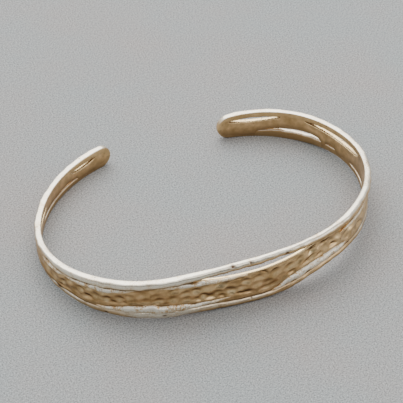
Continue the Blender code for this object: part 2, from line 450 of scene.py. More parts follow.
@dataclass
class Former:
    """The oval form that every flat piece is bent round."""

    line: BendLine
    spacing: float = 0.25 * MM

    def make(self) -> bpy.types.Object:
        """Draws the bend line as a curve on the table."""
        count = int(self.line.total / self.spacing)
        points = self.line.points(np.linspace(0, self.line.total, count))
        curve = bpy.data.curves.new("bend_line", "CURVE")
        curve.dimensions = "3D"
        curve.twist_mode = "Z_UP"
        spline = curve.splines.new("POLY")
        spline.points.add(count - 1)
        places = np.column_stack([points, np.zeros(count), np.ones(count)])
        spline.points.foreach_set("co", places.ravel())
        former = bpy.data.objects.new("bend_line", curve)
        bpy.context.scene.collection.objects.link(former)
        return former

    def bend(self, pieces: list[bpy.types.Object]) -> None:
        """Bends the flat pieces round the form, and removes the form."""
        former = self.make()
        for piece in pieces:
            pick(piece)
            bend = piece.modifiers.new("bend", "CURVE")
            bend.object = former
            bend.deform_axis = "POS_X"
            bpy.ops.object.modifier_apply(modifier=bend.name)
        bpy.data.objects.remove(former, do_unlink=True)


@dataclass
class EdgeWire:
    """The loop of wire round the strip's edge, rounded at both tips.

    Its tables start with the distance from the front. Then base_height has the lower wire's height
    in shares of its radius, and squareness the power of the section's inner and outer half. The
    table bare has how far up a face looks before it takes the bright colour, on the rim and on the
    base, and the base's share of it; the bright colour stands for wear and for a painted highlight.
    """

    strip: Strip
    ring_spacing: float = 0.16 * MM
    tip_rings: int = 30
    sides: int = 32
    uneven: Ripple = Ripple(0.06, ((7.1, 0.4), (3.3, 2.0), (11.0, 1.1), (2.1, 0.7)))
    base_shift: float = 3.0
    lobes: Rows = ((0.02, 3, 0.9), (0.015, 2, -0.35))
    lobed: Ramp = Ramp(-0.9, 0.1)
    face: Ripple = Ripple(0.04 * MM, ((5.7, 0.3), (2.9, 1.2)))
    # Tarnish and painted shade where the wire meets the band on its outer face.
    crevice_tarnish_and_shade: Ramp = Ramp(-0.8, -0.99)
    inner_from: float = 0.3
    # Painted shade: the wire's faces that look down are darkened, and low on the base wire's inner
    # face.
    outer_underside_shade: Ramp = Ramp(0.05, -0.65, 0.8)
    inner_underside_shade: Ramp = Ramp(0.05, -0.65, 0.45)
    foot_underside_shade: Ramp = Ramp(0.45, 0.1, 0.38)
    # Wear and painted highlight: faces that look up far enough take the bright colour.
    inner_sheen_and_bare: float = 0.4
    sheen_and_bared: Ramp = Ramp(0, 0.5)
    cleared_by_sheen_and_wear: float = 0.8
    unpitted: float = 0.1
    pit_face: float = 0.2
    pit_stain: float = 0.85
    base_height: Rows = (
        (-60, 1.0), (44, 1.0), (50, 1.15), (54, 1.5), (63, 1.5), (67, 1.1), (72, 1.0),
    )
    squareness: Rows = (
        (-60, 5.0, 4.2), (-46, 5.0, 4.2), (-36, 5.0, 3.4), (-13, 4.6, 3.0), (-7, 2.3, 2.0),
        (15, 2.3, 2.0), (24, 3.4, 2.5), (38, 4.6, 2.6), (46, 5.0, 4.2), (60, 5.0, 4.2),
    )
    sheen_and_bare: Rows = (
        (-60, 0.35, 0.3, 1.0), (-46, 0.2, 0.0, 1.0), (-33, -0.4, -0.15, 1.0),
        (-29, -0.4, -0.15, 0.45), (-24, -0.4, -0.15, 0.45), (-20, -0.4, -0.65, 1.0),
        (-13, -0.4, -0.65, 1.0), (-9, -0.4, -0.1, 0.55), (0, 0.1, 0.0, 0.6), (4, 0.12, 0.1, 0.15),
        (20, 0.15, 0.2, 0.05), (27, 0.3, 0.2, 0.9), (60, 0.35, 0.3, 1.0),
    )
    pits: tuple[Pit, ...] = (
        Pit(-4.3, 9.05, 0.3, 0.16, 1.4),
        Pit(-1.2, 9.15, 0.26, 0.18, 1.2),
        Pit(5.5, 8.95, 0.3, 0.16, 1.5),
        Pit(-39.4, 4.9, 0.45, 0.22, 1.3),
        Pit(-0.9, 0.95, 0.17, 0.12, 1.0),
        Pit(-16.2, 1.25, 0.22, 0.12, 2.0),
        Pit(-26.0, 0.8, 0.24, 0.1, 1.8),
    )

    def path(self) -> tuple[Array, ...]:
        """Follows the strip's boundary.

        Returns:
            The wire's centre points, its directions away from the loop, its radii and its heights'
            shares.
        """
        strip, total = self.strip, self.strip.line.total
        left, right = strip.tip(Side.LEFT), strip.tip(Side.RIGHT)
        count = int((total - left - right) / self.ring_spacing)
        runs = np.linspace(left, total - right, count, endpoint=False)
        back = np.linspace(total - right, left, count, endpoint=False)
        turns = np.linspace(0, math.pi, self.tip_rings, endpoint=False)
        right_x = total - right + right * np.sin(turns)
        left_x = left - left * np.sin(turns)
        x = np.concatenate([runs, right_x, back, left_x])
        ones, bow = np.ones(count), np.cos(turns)
        upper = np.concatenate([ones, bow, -ones, -bow])
        half = strip.height * strip.read(x, Column.HEIGHT) / 2
        boundary = np.column_stack([x, strip.middle(x) + half * upper])
        ahead = np.roll(boundary, -1, axis=0) - np.roll(boundary, 1, axis=0)
        ahead /= np.linalg.norm(ahead, axis=1)[:, None]
        away = np.column_stack([-ahead[:, 1], ahead[:, 0]])
        rim, base = strip.radius(x, Edge.RIM), strip.radius(x, Edge.BASE)
        radius = base + (rim - base) * (upper + 1) / 2
        radius = radius * (1 + self.uneven(x / MM + self.base_shift * upper))
        extra = straight(self.base_height, strip.from_front(x)) - 1
        tall = 1 + extra * (upper < -FULL)
        return boundary - away * (radius * tall)[:, None], away, radius, tall

    def build(self) -> bpy.types.Object:
        """Rolls the wire, presses its pits in, marks its crevices, and paints shade and highlights
        on it.
        """
        centre, away, radius, tall = self.path()
        rings = len(centre)
        sheet = Sheet("edge_wire", rings, self.sides)
        i, turn = sheet.ring % rings, sheet.turn(self.sides)
        away, radius = away[i], radius[i]
        along = self.strip.from_front(centre[i, 0])
        up, out = np.cos(turn), np.sin(turn)
        inner, outer = (straight(self.squareness, along, column) for column in (1, 2))
        power = 2 / np.where(out < 0, inner, outer)
        facing = np.sign(up) * np.abs(up) ** (2 - power)
        lift = away[:, 1] * facing / np.hypot(facing, np.abs(out) ** (2 - power))
        up, out = (np.sign(share) * np.abs(share) ** power for share in (up, out))
        reach = radius * (1 + waver(turn, along, self.lobes) * self.lobed(out))
        flat = centre[i] + away * (reach * tall[i] * up)[:, None]
        outward = radius - self.strip.rim_wire / 2 + reach * out + self.face(along) * (out > 0)
        pitted = np.zeros(len(i))
        for pit in self.pits:
            gap = np.hypot((along - pit.along) / pit.stretch, flat[:, 1] / MM - pit.up) / pit.radius
            press = np.exp(-(gap**2)) * (out > -self.pit_face) * pit.depth * MM
            flat -= away * (press * up)[:, None]
            outward = outward - press * out
            stain = np.exp(-((gap / self.pit_stain) ** 4)) * (out > -self.pit_face)
            pitted = np.maximum(pitted, stain)
        wear_and_sheen = self.wear_and_sheen(along, away[:, 1], out, lift)
        inside = out < -self.inner_from
        # Painted shade on the faces that look down, outside and inside, and low on the base wire's
        # inner face.
        underside_shade = np.where(inside, self.inner_underside_shade(lift), self.outer_underside_shade(lift))
        foot = self.foot_underside_shade(lift) * inside * (away[:, 1] < 0)
        # Tarnish in the joint with the band, with painted shade under the rim.
        crevice_tarnish_and_shade = self.crevice_tarnish_and_shade(up) * (out > 0)
        shade_and_tarnish_mask = np.max([crevice_tarnish_and_shade, underside_shade, foot, pitted], axis=0)
        # Wear and painted highlight clear the darkening, outside the pits.
        shade_and_tarnish_mask = shade_and_tarnish_mask * (1 - self.cleared_by_sheen_and_wear * wear_and_sheen * (pitted < self.unpitted))
        points = np.column_stack([flat[:, 0], -outward, np.maximum(flat[:, 1], 0.0)])
        sheet.shape(points, {"shade_and_tarnish_mask": shade_and_tarnish_mask, "wear_and_sheen": wear_and_sheen})
        return sheet.close()

    def wear_and_sheen(self, along: Array, away: Array, out: Array, lift: Array) -> Array:
        """Marks where the plating is worn bright, with a painted highlight on the faces that look
        up.

        Args:
            along: Distances from the front in mm.
            away: How far the side away from the loop looks up, above 0 on the rim.
            out: Shares of the way to the outer face, below 0 on the inner half.
            lift: How far each face looks up, from -1 to 1.

        Returns:
            The wear and painted highlight, 0 to 1.
        """
        rim, base, share = (straight(self.sheen_and_bare, along, column) for column in (1, 2, 3))
        edge = np.where(away > 0, rim, base)
        edge = np.where(out < 0, np.maximum(edge, self.inner_sheen_and_bare), edge)
        return self.sheen_and_bared(lift - edge) * np.where(away > 0, 1.0, share)


@dataclass(frozen=True)
class Hammer:
    """The hammer's dents, in staggered rows with some disorder. Lengths are in mm."""

    seed: int = 5
    rows: int = 12
    columns: int = 60
    pitch: float = 2.35
    row: float = 1.22
    radius: float = 1.22
    depth: float = 0.5
    disorder: float = 0.34
    weights: Pair = (0.45, 1.1)
    sizes: Pair = (0.85, 1.25)
    length: float = 1.15
    squatness: float = 1.25
    bowl: float = 0.45
    fall: float = 1.8
    slope: float = 1.6

    def dents(self, along: Array, up: Array) -> tuple[Array, Array]:
        """Lays the dents.

        Args:
            along: Distances from the front in mm.
            up: Heights from the band's middle in mm.

        Returns:
            How deep the dents are, 0 to 1, and how shaded, 1 under a dent's upper lip and -1 at its
            foot.
        """
        chance = np.random.RandomState(self.seed)
        grid = (self.rows, self.columns)
        shift = chance.uniform(-self.disorder, self.disorder, (*grid, 2))
        weight = chance.uniform(*self.weights, grid)
        size = chance.uniform(*self.sizes, grid)
        depth, shade = np.zeros(len(along)), np.zeros(len(along))
        base = np.rint(up / self.row)
        for dr in (-1, 0, 1):
            r = base + dr
            stagger = 0.5 * (r % 2)
            for dc in (-1, 0, 1):
                c = np.rint(along / self.pitch - stagger) + dc
                ri = (r + self.rows // 2).astype(int) % self.rows
                ci = (c + self.columns // 2).astype(int) % self.columns
                x = (c + stagger + shift[ri, ci, 0]) * self.pitch
                z = (r + shift[ri, ci, 1]) * self.row
                reach = self.radius * size[ri, ci]
                gap = np.hypot((along - x) / self.length, (up - z) * self.squatness) / reach
                bowl = self.bowl * np.clip(1 - gap**2, 0, 1)
                dent = weight[ri, ci] * (bowl + (1 - self.bowl) * np.exp(-self.fall * gap**2))
                depth += dent**4
                shade += dent**2 * np.clip((up - z) / reach * self.slope, -1, 1)
        return depth**0.25, np.clip(shade, -1, 1)


@dataclass(frozen=True)
class Skin:
    """The corners of the band's skin. All but x is in mm or is a share.

    Each corner has its distance from the left tip and from the front, its height, its level from
    the band's middle, its ways from the band's two lips and from the two wires, its height in the
    section, past 1 on the lips, and its depth from -1 inside to 1 outside.
    """

    x: Array
    along: Array
    up: Array
    level: Array
    below_top: Array
    above_bottom: Array
    below_rim: Array
    above_base: Array
    height: Array
    depth: Array


@dataclass
class HammeredBand:
    """The hammered band between the wires, with rounded edges where the slits bare them.

    The table low_line is the height from which it is hammered, and force is how hard. The flakes
    are lines from one distance and height to another.
    """

    strip: Strip
    wires: tuple[Rows, ...] = ()
    hammer: Hammer = Hammer()
    thickness: Ramp = Ramp(34, 46, 1.02 * MM, 0.85 * MM)
    inset: float = -0.008 * MM
    lip: Ramp = Ramp(34, 46, 0.28, 0.6)
    lip_limit: float = 0.3
    lip_squareness: float = 3.2
    thinning: Ramp = Ramp(1.0, 0.1, 0.34 * MM)
    thinning_opening: float = 0.5 * MM
    thinning_span: float = 24
    bite: Ramp = Ramp(0, 0.34 * MM, 0.4, 1.3)
    end_gap: float = 0.7 * MM
    ring_spacing: float = 0.17 * MM
    inner_steps: int = 12
    edge_steps: int = 11
    outer_steps: int = 40
    crown: float = 0.1
    swell: Ripple = Ripple(0.05, ((9.0, 0.3), (5.2, 1.9), (13.0, 2.6)))
    swell_slant: float = 0.7
    inner_swell: Ripple = Ripple(0.03, ((6.3, 0.2), (15.0, 1.4)))
    top_clear: Ramp = Ramp(0.15, 0.75)
    low_clear: Ramp = Ramp(-0.1, 0.5)
    bead: float = 0.12
    bead_in: float = 0.12
    bead_width: float = 0.2
    bead_opening: float = 0.3 * MM
    top_beads: Pair = (-24, 22)
    low_beads: Pair = (-30, 30)
    groove: float = 0.26
    groove_width: float = 0.21
    groove_bow: float = 0.25
    groove_ends: Pair = (0.08, 0.92)
    # Tarnish and painted shade along the band where it meets the rim wire and the base wire.
    seam_tarnish_and_shade: Ramp = Ramp(0.3, 0.0, 0.8)
    arm: Ramp = Ramp(34, 46)
    arm_clean: float = 0.75
    shading: float = 2.6
    shade_limit: float = 0.95
    # Painted shade, darker towards the left of the front.
    left_shade: Ramp = Ramp(-6, -32, 0.2)
    # Painted shade on the inner face, darker towards the bottom.
    inner_low_shade: Ramp = Ramp(0.2, -1.0, 0.42)
    lip_stain: float = 0.55
    stained_opening: float = 0.2 * MM
    crease_stain: float = 0.75
    crease_width: float = 0.28
    crease_from: float = 0.8
    creased: Ramp = Ramp(0.1, 0.4)
    # Painted highlight on the band's upper lip, the sill, beside the rim's open slits.
    sheen_and_bare_opening: float = 0.4 * MM
    # Painted highlight, brighter towards the right of the front and fading before the right arm.
    right_sheen: Ramp = Ramp(-4, 18, 0.3)
    right_end: Ramp = Ramp(44, 34)
    force: Rows = ((-58, 0.25), (-42, 0.7), (-38, 1.0), (36, 1.0), (42, 0.7), (58, 0.25))
    low_line: Rows = (
        (-45, 1.4), (-37, 1.5), (-31, 1.9), (-27, 2.5), (-22, 3.1), (-18, 3.1), (-14, 2.7),
        (-10, 2.5), (-5, 2.4), (0, 1.7), (3, 1.9), (6, 3.2), (10, 4.2), (14, 4.8), (18, 4.6),
        (20, 3.4), (26, 2.9), (34, 2.3), (45, 1.6),
    )
    flakes: Rows = (
        (-6.4, 5.3, -1.6, 5.5), (-3.0, 5.9, 0.4, 6.1), (0.2, 6.1, 2.6, 5.2), (2.5, 5.2, 4.6, 5.7),
        (9.6, 6.6, 12.4, 7.1), (12.2, 6.7, 16.0, 7.0),
    )

    def outline(self) -> tuple[Array, Array]:
        """The shape of one cross-section.

        Returns:
            For each step round it, its height from -1 to 1, past that on the lips, and its depth
            from -1, inside, to 1, outside.
        """
        turns = np.linspace(0, math.pi, self.edge_steps, endpoint=False)
        square = 2 / self.lip_squareness
        reach = np.sin(turns) ** square
        across = np.sign(np.cos(turns)) * np.abs(np.cos(turns)) ** square
        inner = [(h, -1.0) for h in np.linspace(-1, 1, self.inner_steps, endpoint=False)]
        top = [(1 + r, -a) for r, a in zip(reach, across)]
        outer = [(h, 1.0) for h in np.linspace(1, -1, self.outer_steps, endpoint=False)]
        low = [(-1 - r, a) for r, a in zip(reach, across)]
        steps = np.array(inner + top + outer + low)
        return steps[:, 0], steps[:, 1]

    def grooves(self, along: Array, up: Array) -> Array:
        """How near a point is to one of the flaked lines, 0 to 1."""
        near = np.zeros(len(along))
        for x0, z0, x1, z1 in self.flakes:
            dx, dz = x1 - x0, z1 - z0
            t = np.clip(((along - x0) * dx + (up - z0) * dz) / (dx**2 + dz**2), 0, 1)
            bow = self.groove_bow * np.sin(math.pi * t)
            gap = np.hypot(along - x0 - t * dx, up - z0 - t * dz - bow) / self.groove_width
            ends = np.sin(math.pi * np.clip(t, *self.groove_ends))
            near = np.maximum(near, np.exp(-(gap**2)) * ends)
        return near

    def beads(self, skin: Skin) -> Array:
        """How high the beads along the slits' lips stand, 0 to 1."""
        found = []
        for edge, inside, (left, right) in (
            (Edge.RIM, skin.below_top, self.top_beads),
            (Edge.BASE, skin.above_bottom, self.low_beads),
        ):
            opened = np.clip(self.strip.slit(skin.x, edge) / self.bead_opening, 0, 1)
            bead = np.exp(-(((inside - self.bead_in) / self.bead_width) ** 2))
            found.append(bead * opened * (skin.along > left) * (skin.along < right))
        return np.max(found, axis=0)

    def crease(self, along: Array, up: Array) -> Array:
        """How near a point is to the upper side of a raised wire, 0 to 1."""
        near = np.zeros(len(along))
        for rows in self.wires:
            height, radius = (smooth(rows, along, column) for column in (1, 2))
            above = up - height - self.crease_from * radius
            beside = self.creased(radius) * (above > -2 * radius)
            close = np.exp(-((np.maximum(above, 0) / self.crease_width) ** 2))
            near = np.maximum(near, close * beside)
        return near

    def finish(self, skin: Skin) -> tuple[Array, dict[str, Array]]:
        """Hammers the outer face, marks its hollows and ridges, and paints shade and highlights on
        it.

        Args:
            skin: The corners of the band's skin.

        Returns:
            How far each corner is moved outwards, and the masks.
        """
        along, body = skin.along, np.clip(skin.height, -1, 1)
        outer, inner = skin.depth > FULL, skin.depth < -FULL
        force = straight(self.force, along) * self.top_clear(skin.below_top)
        above_line = skin.up - straight(self.low_line, along)
        force = force * self.low_clear(above_line) * outer
        dents, shade = (mask * force for mask in self.hammer.dents(along, skin.level))
        grooves = self.grooves(along, skin.up) * outer
        bead = self.beads(skin)
        relief = (
            self.crown * np.cos(0.5 * math.pi * body) * outer
            + self.swell(along + self.swell_slant * skin.level) * outer
            + self.inner_swell(along) * inner
            + self.bead * bead * (skin.depth > 0)
            - self.hammer.depth * dents
            - self.groove * grooves
        )
        # Tarnish and painted shade beside both wires, less on the arms.
        seam_tarnish_and_shade = np.maximum(self.seam_tarnish_and_shade(skin.below_rim), self.seam_tarnish_and_shade(skin.above_base))
        shade_and_tarnish_mask = [
            seam_tarnish_and_shade * (1 - self.arm_clean * self.arm(np.abs(along))) * outer,
            grooves,
            # Painted shade under each dent's upper lip.
            np.clip(self.shading * shade, 0, self.shade_limit),
            # Painted shade on the left of the band.
            self.left_shade(along) * outer,
            # Painted shade, low on the inner face.
            self.inner_low_shade(body) * inner,
            self.crease_stain * self.crease(along, skin.up) * outer,
        ]
        for edge, height in ((Edge.RIM, skin.height), (Edge.BASE, -skin.height)):
            stained = np.clip(self.strip.slit(skin.x, edge, dark=True) / self.stained_opening, 0, 1)
            shade_and_tarnish_mask.append(self.lip_stain * stained * (height > FULL))
        # Painted highlight on the sills of the rim's open slits.
        sheen_and_bare = np.clip(self.strip.slit(skin.x, Edge.RIM, dark=False) / self.sheen_and_bare_opening, 0, 1)
        # Painted highlight on the right of the band.
        right = self.right_sheen(along) * self.right_end(along) * outer
        # Painted highlight at each dent's foot.
        bright = np.clip(-self.shading * shade, 0, 1)
        wear_and_sheen = [sheen_and_bare * (skin.height > 1), bead, bright, right]
        return relief * MM, {"shade_and_tarnish_mask": np.max(shade_and_tarnish_mask, axis=0), "wear_and_sheen": np.max(wear_and_sheen, axis=0)}

    def build(self) -> bpy.types.Object:
        """Rolls the band between the wires, thins its lips and hammers it."""
        strip, total = self.strip, self.strip.line.total
        height, depth = self.outline()
        rings = int((total - 2 * self.end_gap) / self.ring_spacing)
        x = np.linspace(self.end_gap, total - self.end_gap, rings + 1)
        low, high = strip.edges(x)
        rim, base = strip.radius(x, Edge.RIM), strip.radius(x, Edge.BASE)
        open_top, open_low = strip.slit(x, Edge.RIM), strip.slit(x, Edge.BASE)
        top = high - rim * (2 - self.bite(open_top)) - open_top
        bottom = low + base * (2 - self.bite(open_low)) + open_low
        away = np.abs(strip.from_front(x))
        thick = self.thickness(away)
        half = np.minimum(self.lip(away) * thick / 2, (top - bottom) * self.lip_limit)
        sheet = Sheet("hammered_band", rings, len(height))
        i, j = sheet.ring, sheet.around % len(height)
        x, height, depth = x[i], height[j], depth[j]
        body = np.clip(height, -1, 1)
        middle = (top + bottom)[i] / 2
        up = middle + body * ((top - bottom) / 2 - half)[i] + (height - body) * half[i]
        skin = Skin(
            x=x, along=strip.from_front(x), up=up / MM, level=(up - middle) / MM,
            below_top=(top[i] - up) / MM, above_bottom=(up - bottom[i]) / MM,
            below_rim=((high - 2 * rim)[i] - up) / MM, above_base=(up - (low + 2 * base)[i]) / MM,
            height=height, depth=depth,
        )
        relief, masks = self.finish(skin)
        opened = np.clip(strip.slit(x, Edge.RIM, dark=False) / self.thinning_opening, 0, 1)
        opened = opened * (np.abs(skin.along) < self.thinning_span)
        thinned = self.thinning(skin.below_top) * opened
        inner_face = -strip.rim_wire / 2 + self.inset
        outward = inner_face + (thick[i] - thinned) / 2 * (1 + depth) + relief
        sheet.shape(np.column_stack([x, -outward, up]), masks)
        return sheet.close()


@dataclass
class RaisedWire:
    """A short wire fused onto the band. Lengths are in mm."""

    strip: Strip
    run: Run
    sides: int = 18
    ring_spacing: float = 0.16
    bunching: float = 0.3
    uneven: Ripple = Ripple(0.14, ((2.6, 0.3), (1.5, 1.0), (4.4, 2.2)))
    taper: float = 2.2
    least: float = 0.0001
    wander: Ripple = Ripple(0.05, ((5.0, 0.2), (3.1, 1.3)))
    lobes: Rows = ((0.05, 2, 1.3), (0.03, 3, -2.1))
    standing: Ramp = Ramp(0.05, 0.35)
    sunk: float = 0.24
    # Painted highlight on the wire's upper side, strongest on its thick parts.
    top_sheen: Ramp = Ramp(-0.3, 0.5, least=0.45)
    thick_sheen: Ramp = Ramp(0.15, 0.55, least=0.25)
    # Tarnish and painted shade on the wire's lower side.
    crevice_tarnish_and_shade: Ramp = Ramp(-0.55, -0.99, 0.8)

    def build(self) -> bpy.types.Object:
        """Rolls the wire on its run, with blunt rounded ends."""
        rows = self.run.rows
        start, end = rows[0][0], rows[-1][0]
        rings = int((end - start) / self.ring_spacing)
        eased = 0.5 - 0.5 * np.cos(np.linspace(0, math.pi, rings + 1))
        even = np.linspace(0, 1, rings + 1)
        along = start + (end - start) * (self.bunching * eased + (1 - self.bunching) * even)
        radius = smooth(rows, along, 2) * (1 + self.uneven(along))
        for to_end in (along - start, end - along):
            blunt = np.clip(to_end / (self.taper * radius), 0, 1)
            radius = radius * np.sqrt(np.maximum(1 - (1 - blunt) ** 2, self.least))
        up = smooth(rows, along) + self.wander(along)
        sheet = Sheet(self.run.name, rings, self.sides)
        turn = sheet.turn(self.sides)
        along, radius, up = (values[sheet.ring] for values in (along, radius, up))
        reach = radius * (1 + waver(turn, along, self.lobes))
        face = (HammeredBand.thickness.least - self.strip.rim_wire / 2) / MM
        face = face + self.run.proud * self.standing(radius)
        outward = face - self.sunk * radius + reach * np.sin(turn)
        x = along + self.strip.line.length[Side.LEFT] / MM
        points = np.column_stack([x, -outward, up + reach * np.cos(turn)]) * MM
        # Painted highlight on top, painted shade on the lower side.
        wear_and_sheen = self.top_sheen(np.cos(turn)) * self.thick_sheen(radius)
        sheet.shape(points, {"shade_and_tarnish_mask": self.crevice_tarnish_and_shade(np.cos(turn)), "wear_and_sheen": wear_and_sheen})
        return sheet.close()


class Graph:
    """A node tree, with short ways to add to it."""

    MIX_A, MIX_B, MIX_RESULT = 6, 7, 2  # the Mix node's colour sockets

    def __init__(self, tree: bpy.types.NodeTree) -> None:
        """Takes the tree."""
        self.tree = tree

    def node(self, kind: str, **values: object) -> bpy.types.Node:
        """Adds a node and sets its properties."""
        made = self.tree.nodes.new(kind)
        for name, value in values.items():
            setattr(made, name, value)
        return made

    def feed(self, target: Socket, value: Socket | float | Triple) -> None:
        """Joins a socket to the target, or sets the target to a value or a colour."""
        if isinstance(value, Socket):
            self.tree.links.new(value, target)
        else:
            target.default_value = (*value, 1.0) if isinstance(value, tuple) else value

    def math(self, operation: str, *values: Socket | float, clamp: bool = False) -> Socket:
        """Adds a sum.

        Args:
            operation: The Math node's operation.
            values: Its values or sockets, two or three.
            clamp: Whether to hold the result within 0 and 1.

        Returns:
            The result's socket.
        """
        made = self.node("ShaderNodeMath", operation=operation, use_clamp=clamp)
        for target, value in zip(made.inputs, values):
            self.feed(target, value)
        return made.outputs[0]

    def mix(self, share: Socket, a: Socket | Triple, b: Socket | Triple) -> Socket:
        """Mixes two colours by a share and returns the colour's socket."""
        made = self.node("ShaderNodeMix", data_type="RGBA")
        for key, value in (("Factor", share), (self.MIX_A, a), (self.MIX_B, b)):
            self.feed(made.inputs[key], value)
        return made.outputs[self.MIX_RESULT]

    def noise(self, scale: Socket | float, detail: float, roughness: float = 0.5) -> Socket:
        """Adds a noise texture on the object's coordinates."""
        made = self.node("ShaderNodeTexNoise")
        self.feed(made.inputs["Vector"], self.node("ShaderNodeTexCoord").outputs["Object"])
        self.feed(made.inputs["Scale"], scale)
        self.feed(made.inputs["Detail"], detail)
        self.feed(made.inputs["Roughness"], roughness)
        return made.outputs[0]

    def mask(self, name: str) -> Socket:
        """Reads one of the piece's masks."""
        return self.node("ShaderNodeAttribute", attribute_name=name).outputs["Fac"]

    def bump(self, target: Socket, height: Socket, strength: float, depth: float) -> None:
        """Adds fine relief to a shader's normal."""
        made = self.node("ShaderNodeBump")
        self.feed(made.inputs["Height"], height)
        self.feed(made.inputs["Strength"], strength)
        self.feed(made.inputs["Distance"], depth)
        self.feed(target, made.outputs["Normal"])


def new_material(name: str) -> tuple[bpy.types.Material, Graph, bpy.types.Node]:
    """Adds a material, and returns it with its graph and its shader."""
    material = bpy.data.materials.new(name)
    material.use_nodes = True
    return material, Graph(material.node_tree), material.node_tree.nodes["Principled BSDF"]


@dataclass(frozen=True)
class Patina:
    """The shared node group of worn plating: blotches, casting grain, specks, tarnish and wear,
    with painted shade and highlights.
    """

    name: str = "worn_plating"
    inputs: tuple[tuple[str, float], ...] = (
        ("Blotch Scale", 420.0), ("Tarnish And Shade", 1.0), ("Wear And Sheen", 1.0), ("Patchiness", 2.0),
    )
    outputs: tuple[str, ...] = ("Dark Mask", "Bright Mask", "Blotch", "Height")
    grain_scale: float = 3200.0
    speck_scale: float = 1500.0
    speck_from: float = 0.7
    speck_gain: float = 9.0
    speck_tarnish: float = 0.55
    speck_depth: float = 1.4
    uneven: Pair = (1.3, 0.35)
    patch_grain: float = 0.9
    patch_from: float = 0.95
    patch_level: float = 0.8
    grain_height: float = 0.6
    blotch_height: float = 0.8

    def group(self) -> bpy.types.NodeTree:
        """Builds the group once and returns it."""
        if self.name in bpy.data.node_groups:
            return bpy.data.node_groups[self.name]
        tree = bpy.data.node_groups.new(self.name, "ShaderNodeTree")
        ports, kind = tree.interface, "NodeSocketFloat"
        for label, value in self.inputs:
            ports.new_socket(label, in_out="INPUT", socket_type=kind).default_value = value
        for label in self.outputs:
            ports.new_socket(label, in_out="OUTPUT", socket_type=kind)
        graph = Graph(tree)
        given, out = graph.node("NodeGroupInput").outputs, graph.node("NodeGroupOutput").inputs
        blotch = graph.noise(given["Blotch Scale"], 3.0, 0.55)
        grain = graph.noise(self.grain_scale, 2.0, 0.6)
        speck = graph.math("SUBTRACT", graph.noise(self.speck_scale, 1.0), self.speck_from)
        speck = graph.math("MULTIPLY", speck, self.speck_gain, clamp=True)
        uneven = graph.math("MULTIPLY_ADD", blotch, *self.uneven)
        # The darkening: tarnish and painted shade.
        shade_and_tarnish_mask = graph.math("MULTIPLY", graph.mask("shade_and_tarnish_mask"), uneven, clamp=True)
        shade_and_tarnish_mask = graph.math("MAXIMUM", shade_and_tarnish_mask, graph.math("MULTIPLY", speck, self.speck_tarnish))
        tarnish_and_shade = graph.math("MULTIPLY", shade_and_tarnish_mask, given["Tarnish And Shade"], clamp=True)
        patchy = graph.math("MULTIPLY_ADD", grain, self.patch_grain, blotch)
        patchy = graph.math("SUBTRACT", patchy, self.patch_from)
        patchy = graph.math(
            "MULTIPLY_ADD", patchy, given["Patchiness"], self.patch_level, clamp=True
        )
        # The brightening: wear and painted highlight.
        wear_and_sheen = graph.math("MULTIPLY", graph.mask("wear_and_sheen"), given["Wear And Sheen"])
        wear_and_sheen = graph.math("MULTIPLY", wear_and_sheen, patchy, clamp=True)
        height = graph.math("MULTIPLY", blotch, self.blotch_height)
        height = graph.math("MULTIPLY_ADD", grain, self.grain_height, height)
        height = graph.math("MULTIPLY_ADD", speck, -self.speck_depth, height)
        for label, made in zip(self.outputs, (tarnish_and_shade, wear_and_sheen, blotch, height)):
            graph.feed(out[label], made)
        return tree


@dataclass(frozen=True)
class SatinGold:
    """A worn gold finish over cast metal; its dark colour also paints shade, its bright one
    highlights.
    """

    name: str
    light: Triple
    deep: Triple
    dark: Triple
    # The dark colour paints tarnish and shade, the bright one wear and highlights.
    bright: Triple
    blotches: float
    roughness: float
    tarnish_and_shade: float
    wear_and_sheen_amount: float
    patchiness: float
    bump: float
    spread: Pair = (2.6, -0.8)
    blotch_roughness: float = 0.14
    tarnish_roughness: float = 0.25
    worn_polish: float = 0.06
    relief: float = 0.09 * MM

    def make(self) -> bpy.types.Material:
        """Builds the material."""
        material, graph, shader = new_material(self.name)
        patina = graph.node("ShaderNodeGroup", node_tree=Patina().group())
        patina.inputs["Blotch Scale"].default_value = self.blotches
        patina.inputs["Tarnish And Shade"].default_value = self.tarnish_and_shade
        patina.inputs["Wear And Sheen"].default_value = self.wear_and_sheen_amount
        patina.inputs["Patchiness"].default_value = self.patchiness
        tarnish_and_shade, wear_and_sheen, blotch, height = (patina.outputs[label] for label in Patina().outputs)
        spread = graph.math("MULTIPLY_ADD", blotch, *self.spread, clamp=True)
        base = graph.mix(spread, self.deep, self.light)
        base = graph.mix(wear_and_sheen, base, self.bright)
        base = graph.mix(tarnish_and_shade, base, self.dark)
        rough = graph.math("MULTIPLY_ADD", blotch, self.blotch_roughness, self.roughness)
        rough = graph.math("MULTIPLY_ADD", tarnish_and_shade, self.tarnish_roughness, rough)
        rough = graph.math("MULTIPLY_ADD", wear_and_sheen, -self.worn_polish, rough, clamp=True)
        graph.feed(shader.inputs["Base Color"], base)
        graph.feed(shader.inputs["Roughness"], rough)
        graph.feed(shader.inputs["Metallic"], 1.0)
        graph.bump(shader.inputs["Normal"], height, self.bump, self.relief)
        return material


